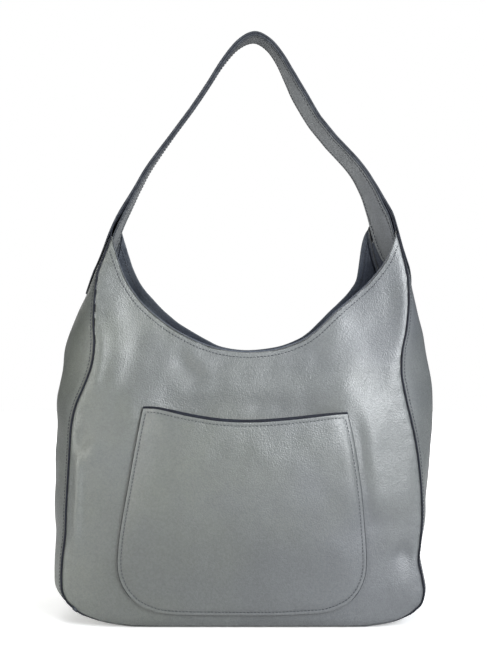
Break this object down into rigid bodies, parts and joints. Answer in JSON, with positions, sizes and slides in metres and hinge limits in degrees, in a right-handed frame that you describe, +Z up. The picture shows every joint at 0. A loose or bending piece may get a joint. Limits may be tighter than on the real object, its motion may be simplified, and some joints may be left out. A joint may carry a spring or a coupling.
{
  "type": "hobo bag",
  "caption": "Slouchy grey leather hobo bag with a scooped open mouth, patch pocket, shoulder strap, inner closure tab and zipped pocket.",
  "frame": {"origin": "middle of the flat underside of the base panel, on the surface that the bag stands on", "axes": "+Z up, -Y out of the front with the patch pocket, +X to the right of someone looking at the front"},
  "size_m": [0.3296, 0.1292, 0.5173],
  "materials": {
    "leather": "blue-grey full-grain calf leather, fine smooth grain, satin sheen, tone-on-tone topstitching",
    "strap_leather": "blue-grey leather strap with dark painted edges and an edge stitch",
    "edge": "dark navy-charcoal piping and painted edges",
    "lining": "dark navy woven cotton lining",
    "board": "stiffening board and strap reinforcement",
    "nickel": "polished nickel plate"
  },
  "bodies": {
    "bag": {"front_panel": "leather", "back_panel": "leather", "gusset_left": "leather", "gusset_right": "leather", "base_panel": "leather", "seam_welt_front": "edge", "seam_welt_back": "edge", "front_pocket": "leather", "front_pocket_lining": "lining", "facing_front": "leather", "facing_back": "leather", "lining_front": "lining", "lining_back": "lining", "lining_left": "lining", "lining_right": "lining", "lining_base": "lining", "base_board": "board", "strap_tab_left": "strap_leather", "strap_tab_right": "strap_leather", "strap_tail_left": "strap_leather", "strap_tail_right": "strap_leather", "closure_tab_anchor": "leather", "snap_stud": "nickel", "zip_frame": "leather", "zip_tape_upper": "lining", "zip_tape_lower": "lining", "zip_teeth_upper": "nickel", "zip_teeth_lower": "nickel", "zip_pocket_bag": "lining"},
    "strap": {"strap_outer": "strap_leather", "strap_core": "board", "strap_inner": "strap_leather"},
    "closure": {"closure_tab": "leather", "closure_tab_backing": "leather", "snap_socket": "nickel"},
    "slider": {"zip_slider": "nickel"},
    "puller": {"zip_puller": "nickel"}
  },
  "joints": [
    {"name": "strap_swing", "type": "hinge", "parent": "bag", "child": "strap", "pos_m": [0.0085, 0, 0.36], "axis": [1, 0, 0], "range_deg": [-90, 90]},
    {"name": "tab_swing", "type": "hinge", "parent": "bag", "child": "closure", "pos_m": [0.0032, 0.031, 0.212], "axis": [-1, 0, 0], "range_deg": [0, 150]},
    {"name": "zip_slide", "type": "slide", "parent": "bag", "child": "slider", "axis": [1, 0, 0], "range_m": [0, 0.115]},
    {"name": "puller_flip", "type": "hinge", "parent": "slider", "child": "puller", "pos_m": [-0.0575, 0.0308, 0.125], "axis": [0, 0, -1], "range_deg": [0, 165]}
  ]
}
